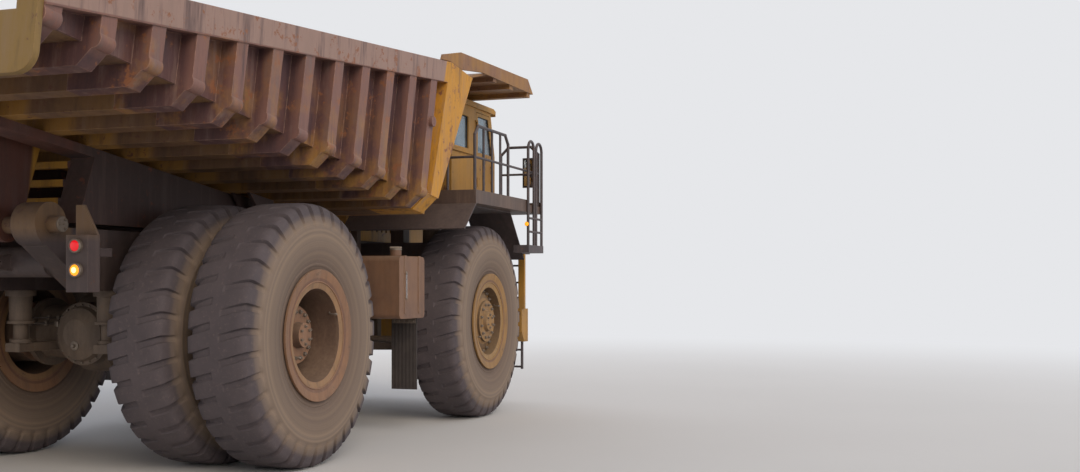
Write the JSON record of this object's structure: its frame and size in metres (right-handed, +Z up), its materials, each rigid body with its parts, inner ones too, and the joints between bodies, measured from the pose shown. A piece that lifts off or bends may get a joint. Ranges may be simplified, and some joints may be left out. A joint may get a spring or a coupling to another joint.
{
  "type": "mining dump truck",
  "caption": "Rigid two-axle mining dump truck with a ribbed tipping body, canopy, side cab, twin rear tyres and steered front wheels.",
  "frame": {"origin": "on the ground, at mid-length on the truck's centreline", "axes": "+X forward, +Y to the driver's left, +Z up"},
  "size_m": [11.29, 5.5236, 4.8899],
  "materials": {
    "body_paint": "worn yellow paint rusted brown",
    "bright_rod": "ground and plated",
    "cast_steel": "cast, dusty",
    "dark_paint": "dark dusty paint",
    "flap_rubber": "dusty rubber",
    "glass": "clear",
    "lamp_lens": "clear lamp glass",
    "mirror": "silvered",
    "rim_paint": "dust-coated yellow paint",
    "seat_fabric": "black trim",
    "steel_rail": "dark paint worn at the hands",
    "tyre_rubber": "dusty rubber",
    "yellow_paint": "dusty yellow paint, chipped"
  },
  "bodies": {
    "chassis": {"frame": "dark_paint", "bumper": "yellow_paint", "engine": "dark_paint", "hood": "yellow_paint", "decks": "dark_paint", "fenders": "dark_paint", "handrails": "steel_rail", "ladders": "steel_rail", "cab_shell": "yellow_paint", "cab_roof": "yellow_paint", "cab_glass": "glass", "cab_interior": "seat_fabric", "cabinets": "yellow_paint", "tanks": "yellow_paint", "mud_flaps": "flap_rubber", "rear_axle": "cast_steel", "rear_suspension": "cast_steel", "front_suspension": "cast_steel", "tail_lamps": "dark_paint", "headlamps": "lamp_lens", "mirrors": "mirror"},
    "dump_body": {"body_floor": "body_paint", "body_side_right": "body_paint", "body_side_left": "body_paint", "body_front": "body_paint", "body_canopy": "yellow_paint", "body_stringers": "body_paint"},
    "cab_door": {"cab_door": "yellow_paint", "door_glass": "glass"},
    "tie_rod": {"tie_rod": "cast_steel"},
    "hoist_barrel_right": {"hoist_barrel_right": "yellow_paint"},
    "hoist_stage_right": {"hoist_stage_right": "bright_rod"},
    "hoist_rod_right": {"hoist_rod_right": "bright_rod"},
    "knuckle_right": {"knuckle_right": "cast_steel"},
    "front_wheel_right": {"front_tyre_right": "tyre_rubber", "front_rim_right": "rim_paint"},
    "rear_wheels_right": {"rear_tyres_right": "tyre_rubber", "rear_rims_right": "rim_paint"},
    "hoist_barrel_left": {"hoist_barrel_left": "yellow_paint"},
    "hoist_stage_left": {"hoist_stage_left": "bright_rod"},
    "hoist_rod_left": {"hoist_rod_left": "bright_rod"},
    "knuckle_left": {"knuckle_left": "cast_steel"},
    "front_wheel_left": {"front_tyre_left": "tyre_rubber", "front_rim_left": "rim_paint"},
    "rear_wheels_left": {"rear_tyres_left": "tyre_rubber", "rear_rims_left": "rim_paint"}
  },
  "joints": [
    {"name": "dump_raise", "type": "hinge", "parent": "chassis", "child": "dump_body", "pos_m": [-3.195, 0, 2.42], "axis": [0, -1, 0], "range_deg": [0, 48]},
    {"name": "hoist_swing_right", "type": "hinge", "parent": "chassis", "child": "hoist_barrel_right", "pos_m": [0.405, -0.865, 1], "axis": [0, -1, 0], "range_deg": [0, 9.33]},
    {"name": "hoist_stage_slide_right", "type": "slide", "parent": "hoist_barrel_right", "child": "hoist_stage_right", "axis": [-0.2303, 0, 0.9731], "range_m": [0, 1.2881]},
    {"name": "hoist_rod_slide_right", "type": "slide", "parent": "hoist_stage_right", "child": "hoist_rod_right", "axis": [-0.2303, 0, 0.9731], "range_m": [0, 1.2881]},
    {"name": "hoist_swing_left", "type": "hinge", "parent": "chassis", "child": "hoist_barrel_left", "pos_m": [0.405, 0.865, 1], "axis": [0, -1, 0], "range_deg": [0, 9.33]},
    {"name": "hoist_stage_slide_left", "type": "slide", "parent": "hoist_barrel_left", "child": "hoist_stage_left", "axis": [-0.2303, 0, 0.9731], "range_m": [0, 1.2881]},
    {"name": "hoist_rod_slide_left", "type": "slide", "parent": "hoist_stage_left", "child": "hoist_rod_left", "axis": [-0.2303, 0, 0.9731], "range_m": [0, 1.2881]},
    {"name": "steer_right", "type": "hinge", "parent": "chassis", "child": "knuckle_right", "pos_m": [3.455, -1.6, 1.345], "axis": [0, 0, 1], "range_deg": [-35, 35]},
    {"name": "steer_left", "type": "hinge", "parent": "chassis", "child": "knuckle_left", "pos_m": [3.455, 1.6, 1.345], "axis": [0, 0, 1], "range_deg": [-35, 35]},
    {"name": "tie_rod_pin", "type": "hinge", "parent": "knuckle_right", "child": "tie_rod", "pos_m": [2.835, -1.6, 1.11], "axis": [0, 0, 1], "range_deg": [-35, 35]},
    {"name": "front_spin_right", "type": "hinge", "parent": "knuckle_right", "child": "front_wheel_right", "pos_m": [3.455, -2.1625, 1.345], "axis": [0, 1, 0], "continuous": true},
    {"name": "rear_spin_right", "type": "hinge", "parent": "chassis", "child": "rear_wheels_right", "pos_m": [-1.495, -1.75, 1.345], "axis": [0, 1, 0], "continuous": true},
    {"name": "front_spin_left", "type": "hinge", "parent": "knuckle_left", "child": "front_wheel_left", "pos_m": [3.455, 2.1625, 1.345], "axis": [0, 1, 0], "continuous": true},
    {"name": "rear_spin_left", "type": "hinge", "parent": "chassis", "child": "rear_wheels_left", "pos_m": [-1.495, 1.75, 1.345], "axis": [0, 1, 0], "continuous": true},
    {"name": "cab_door_hinge", "type": "hinge", "parent": "chassis", "child": "cab_door", "pos_m": [4.299, -1.966, 3.75], "axis": [0, 0, -1], "range_deg": [0, 65]}
  ],
  "couplings": [
    {"joint": "hoist_swing_right", "follows": "dump_raise", "ratio": 0.19425},
    {"joint": "hoist_stage_slide_right", "follows": "dump_raise", "m_per_rad": 1.5364},
    {"joint": "hoist_rod_slide_right", "follows": "dump_raise", "m_per_rad": 1.5364},
    {"joint": "hoist_swing_left", "follows": "dump_raise", "ratio": 0.19425},
    {"joint": "hoist_stage_slide_left", "follows": "dump_raise", "m_per_rad": 1.5364},
    {"joint": "hoist_rod_slide_left", "follows": "dump_raise", "m_per_rad": 1.5364},
    {"joint": "steer_left", "follows": "steer_right", "ratio": 1},
    {"joint": "tie_rod_pin", "follows": "steer_right", "ratio": -1}
  ]
}
